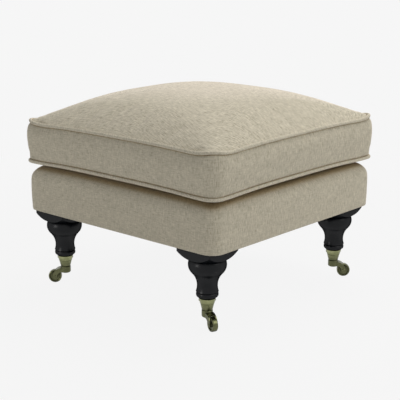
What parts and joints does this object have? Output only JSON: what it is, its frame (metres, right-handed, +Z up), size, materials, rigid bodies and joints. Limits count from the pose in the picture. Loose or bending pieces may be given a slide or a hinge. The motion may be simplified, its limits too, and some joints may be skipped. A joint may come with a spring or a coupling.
{
  "type": "footstool",
  "caption": "Square upholstered footstool with a loose crowned box cushion, turned black legs and small brass castors.",
  "frame": {"origin": "on the floor under the middle of the footstool", "axes": "+Z up from the floor, front towards -Y, +X to the right as seen from the front"},
  "size_m": [0.6048, 0.6048, 0.4762],
  "materials": {
    "oatmeal_cloth": "matte",
    "pad_ticking": "matte",
    "zip_tape": "matte",
    "zip_metal": "satin",
    "hardwood": "matte",
    "zinc_steel": "satin",
    "spring_steel": "satin",
    "hessian": "matte",
    "felt": "matte",
    "foam": "matte",
    "platform_cloth": "matte",
    "dust_cloth": "matte",
    "black_lacquer": "satin",
    "antique_brass": "satin"
  },
  "bodies": {
    "base": {"frame_front_rail": "hardwood", "frame_back_rail": "hardwood", "frame_left_rail": "hardwood", "frame_right_rail": "hardwood", "frame_corner_blocks": "hardwood", "frame_block_screws": "zinc_steel", "frame_dowels": "hardwood", "zigzag_spring_1": "spring_steel", "zigzag_spring_2": "spring_steel", "zigzag_spring_3": "spring_steel", "zigzag_spring_4": "spring_steel", "spring_clips": "zinc_steel", "spring_tie_wires": "spring_steel", "spring_hessian": "hessian", "edge_roll": "felt", "deck_foam": "foam", "deck_cloth": "platform_cloth", "side_wadding": "felt", "base_cover": "oatmeal_cloth", "dust_cover": "dust_cloth", "leg_bolts": "zinc_steel", "leg_tee_nuts": "zinc_steel", "castor_cup_screws": "antique_brass", "leg_front_left": "black_lacquer", "castor_cup_front_left": "antique_brass", "castor_pin_front_left": "antique_brass", "leg_front_right": "black_lacquer", "castor_cup_front_right": "antique_brass", "castor_pin_front_right": "antique_brass", "leg_back_left": "black_lacquer", "castor_cup_back_left": "antique_brass", "castor_pin_back_left": "antique_brass", "leg_back_right": "black_lacquer", "castor_cup_back_right": "antique_brass", "castor_pin_back_right": "antique_brass"},
    "cushion": {"cushion_top_panel": "oatmeal_cloth", "cushion_boxing": "oatmeal_cloth", "cushion_bottom_panel": "oatmeal_cloth", "cushion_piping_top": "oatmeal_cloth", "cushion_piping_bottom": "oatmeal_cloth", "cushion_pad": "pad_ticking", "cushion_zip": "zip_tape"},
    "zip_slider": {"zip_slider": "zip_metal"},
    "horn_front_left": {"castor_horn_front_left": "antique_brass", "castor_axle_front_left": "antique_brass"},
    "wheel_front_left": {"castor_wheel_front_left": "antique_brass"},
    "horn_front_right": {"castor_horn_front_right": "antique_brass", "castor_axle_front_right": "antique_brass"},
    "wheel_front_right": {"castor_wheel_front_right": "antique_brass"},
    "horn_back_left": {"castor_horn_back_left": "antique_brass", "castor_axle_back_left": "antique_brass"},
    "wheel_back_left": {"castor_wheel_back_left": "antique_brass"},
    "horn_back_right": {"castor_horn_back_right": "antique_brass", "castor_axle_back_right": "antique_brass"},
    "wheel_back_right": {"castor_wheel_back_right": "antique_brass"}
  },
  "joints": [
    {"name": "cushion_lift", "type": "slide", "parent": "base", "child": "cushion", "axis": [0, 0, 1], "range_m": [0, 0.15]},
    {"name": "zip_slide", "type": "slide", "parent": "cushion", "child": "zip_slider", "axis": [-1, 0, 0], "range_m": [0, 0.4]},
    {"name": "swivel_front_left", "type": "hinge", "parent": "base", "child": "horn_front_left", "pos_m": [-0.2305, -0.2395, 0.032], "axis": [0, 0, 1], "continuous": true},
    {"name": "roll_front_left", "type": "hinge", "parent": "horn_front_left", "child": "wheel_front_left", "pos_m": [-0.24982, -0.2569, 0.016], "axis": [0.6691, -0.7431, 0], "continuous": true},
    {"name": "swivel_front_right", "type": "hinge", "parent": "base", "child": "horn_front_right", "pos_m": [0.2305, -0.2395, 0.032], "axis": [0, 0, 1], "continuous": true},
    {"name": "roll_front_right", "type": "hinge", "parent": "horn_front_right", "child": "wheel_front_right", "pos_m": [0.25461, -0.24924, 0.016], "axis": [0.3746, 0.9272, 0], "continuous": true},
    {"name": "swivel_back_left", "type": "hinge", "parent": "base", "child": "horn_back_left", "pos_m": [-0.2305, 0.2395, 0.032], "axis": [0, 0, 1], "continuous": true},
    {"name": "roll_back_left", "type": "hinge", "parent": "horn_back_left", "child": "wheel_back_left", "pos_m": [-0.24721, 0.25942, 0.016], "axis": [-0.766, -0.6428, 0], "continuous": true},
    {"name": "swivel_back_right", "type": "hinge", "parent": "base", "child": "horn_back_right", "pos_m": [0.2305, 0.2395, 0.032], "axis": [0, 0, 1], "continuous": true},
    {"name": "roll_back_right", "type": "hinge", "parent": "horn_back_right", "child": "wheel_back_right", "pos_m": [0.25042, 0.25621, 0.016], "axis": [-0.6428, 0.766, 0], "continuous": true}
  ]
}
